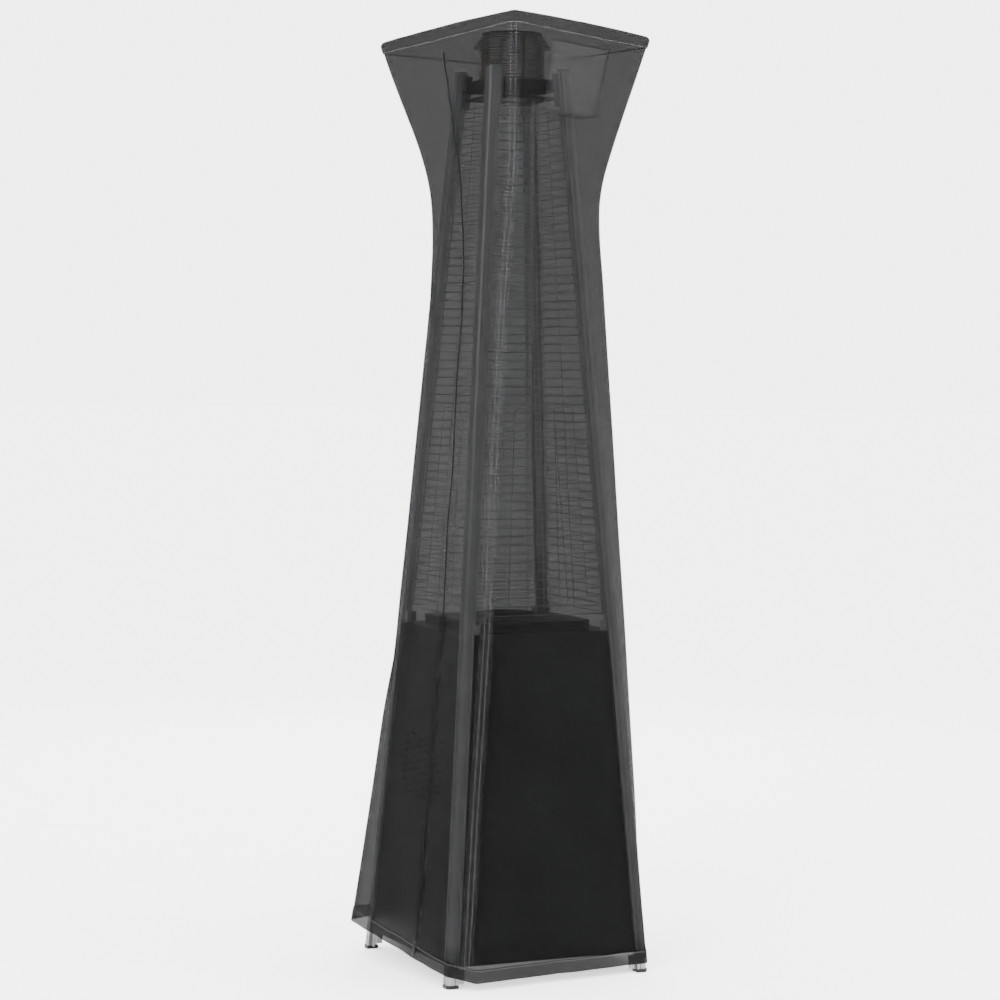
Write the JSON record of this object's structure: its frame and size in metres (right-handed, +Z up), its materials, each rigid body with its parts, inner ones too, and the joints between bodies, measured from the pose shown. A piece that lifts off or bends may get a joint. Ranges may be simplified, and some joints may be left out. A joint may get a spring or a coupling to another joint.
{
  "type": "outdoor heater",
  "caption": "Pyramid gas patio heater with a glass flame tube in wire guards, a louvred base with a fold-down door, and a see-through fabric cover over it.",
  "frame": {"origin": "on the floor at the middle of the four feet", "axes": "+Z up, -Y towards the door side, +X to the right when facing the door"},
  "size_m": [0.595, 0.595, 2.196],
  "materials": {
    "extrusion": "satin anodised",
    "black_sheet": "fine-textured powder coat",
    "black_wire": "satin coat",
    "stainless": "brushed",
    "zinc": "bright zinc plate",
    "fasteners": "zinc plate",
    "foot_plastic": "fine spark texture",
    "knob_plastic": "semi-gloss",
    "button": "gloss",
    "latch_metal": "satin coat",
    "cast_valve": "as cast",
    "pipe": "drawn",
    "brass": "machined",
    "silicone": "matt",
    "glass": "clear",
    "cover_cloth": "coated see-through weave",
    "cover_binding": "doubled weave",
    "zip_tape": "woven tape with nylon coil",
    "zip_metal": "satin coat"
  },
  "bodies": {
    "heater": {"lower_post_front_left": "extrusion", "lower_post_front_right": "extrusion", "lower_post_back_right": "extrusion", "lower_post_back_left": "extrusion", "upper_post_front_left": "extrusion", "upper_post_front_right": "extrusion", "upper_post_back_right": "extrusion", "upper_post_back_left": "extrusion", "post_splices": "extrusion", "flue_cap": "black_sheet", "base_tray": "black_sheet", "left_panel": "black_sheet", "right_panel": "black_sheet", "back_panel": "black_sheet", "deck": "black_sheet", "top_support": "black_sheet", "tube_retainer": "black_sheet", "control_dish": "black_sheet", "tilt_switch": "black_sheet", "guard_front": "black_wire", "guard_right": "black_wire", "guard_back": "black_wire", "guard_left": "black_wire", "burner_pan": "stainless", "burner_head": "stainless", "mixing_tube": "stainless", "pilot": "stainless", "flue_screen": "stainless", "flue_uprights": "stainless", "top_brackets": "zinc", "hinge_pins": "zinc", "panel_screws": "fasteners", "tray_bolts": "fasteners", "deck_bolts": "fasteners", "support_bolts": "fasteners", "foot_front_left": "foot_plastic", "foot_front_right": "foot_plastic", "foot_back_right": "foot_plastic", "foot_back_left": "foot_plastic", "igniter_body": "knob_plastic", "gas_valve": "cast_valve", "feed_pipe": "pipe", "gas_inlet": "brass", "tube_seat": "silicone", "glass_tube": "glass"},
    "door": {"door_panel": "black_sheet"},
    "latch": {"latch_knob": "latch_metal", "latch_tongue": "zinc"},
    "gas_knob": {"control_knob": "knob_plastic", "valve_spindle": "zinc"},
    "igniter": {"igniter_button": "button"},
    "cover": {"cover_skirt": "cover_cloth", "cover_hem": "cover_binding", "cover_hood": "cover_cloth", "vent_flap": "cover_cloth", "zip_tape": "zip_tape"},
    "zip": {"zip_slider": "zip_metal"}
  },
  "joints": [
    {"name": "door_hinge", "type": "hinge", "parent": "heater", "child": "door", "pos_m": [0, -0.23572, 0.051], "axis": [1, 0, 0], "range_deg": [0, 90]},
    {"name": "latch_turn", "type": "hinge", "parent": "door", "child": "latch", "pos_m": [0, -0.18495, 0.755], "axis": [0, -0.9974, 0.0719], "range_deg": [0, 90]},
    {"name": "knob_turn", "type": "hinge", "parent": "heater", "child": "gas_knob", "pos_m": [0, 0.18892, 0.7], "axis": [0, 0.9974, 0.0719], "range_deg": [0, 210]},
    {"name": "igniter_push", "type": "slide", "parent": "heater", "child": "igniter", "axis": [0, -0.9974, -0.0719], "range_m": [0, 0.005], "stiffness_N_per_m": 300},
    {"name": "cover_lift", "type": "slide", "parent": "heater", "child": "cover", "axis": [0, 0, 1], "range_m": [0, 2.2], "deforming": ["cover_skirt", "cover_hem", "cover_hood", "vent_flap", "zip_tape"]},
    {"name": "zip_slide", "type": "slide", "parent": "cover", "child": "zip", "axis": [0.0781, 0.037, 0.9963], "range_m": [0, 1.32]}
  ]
}
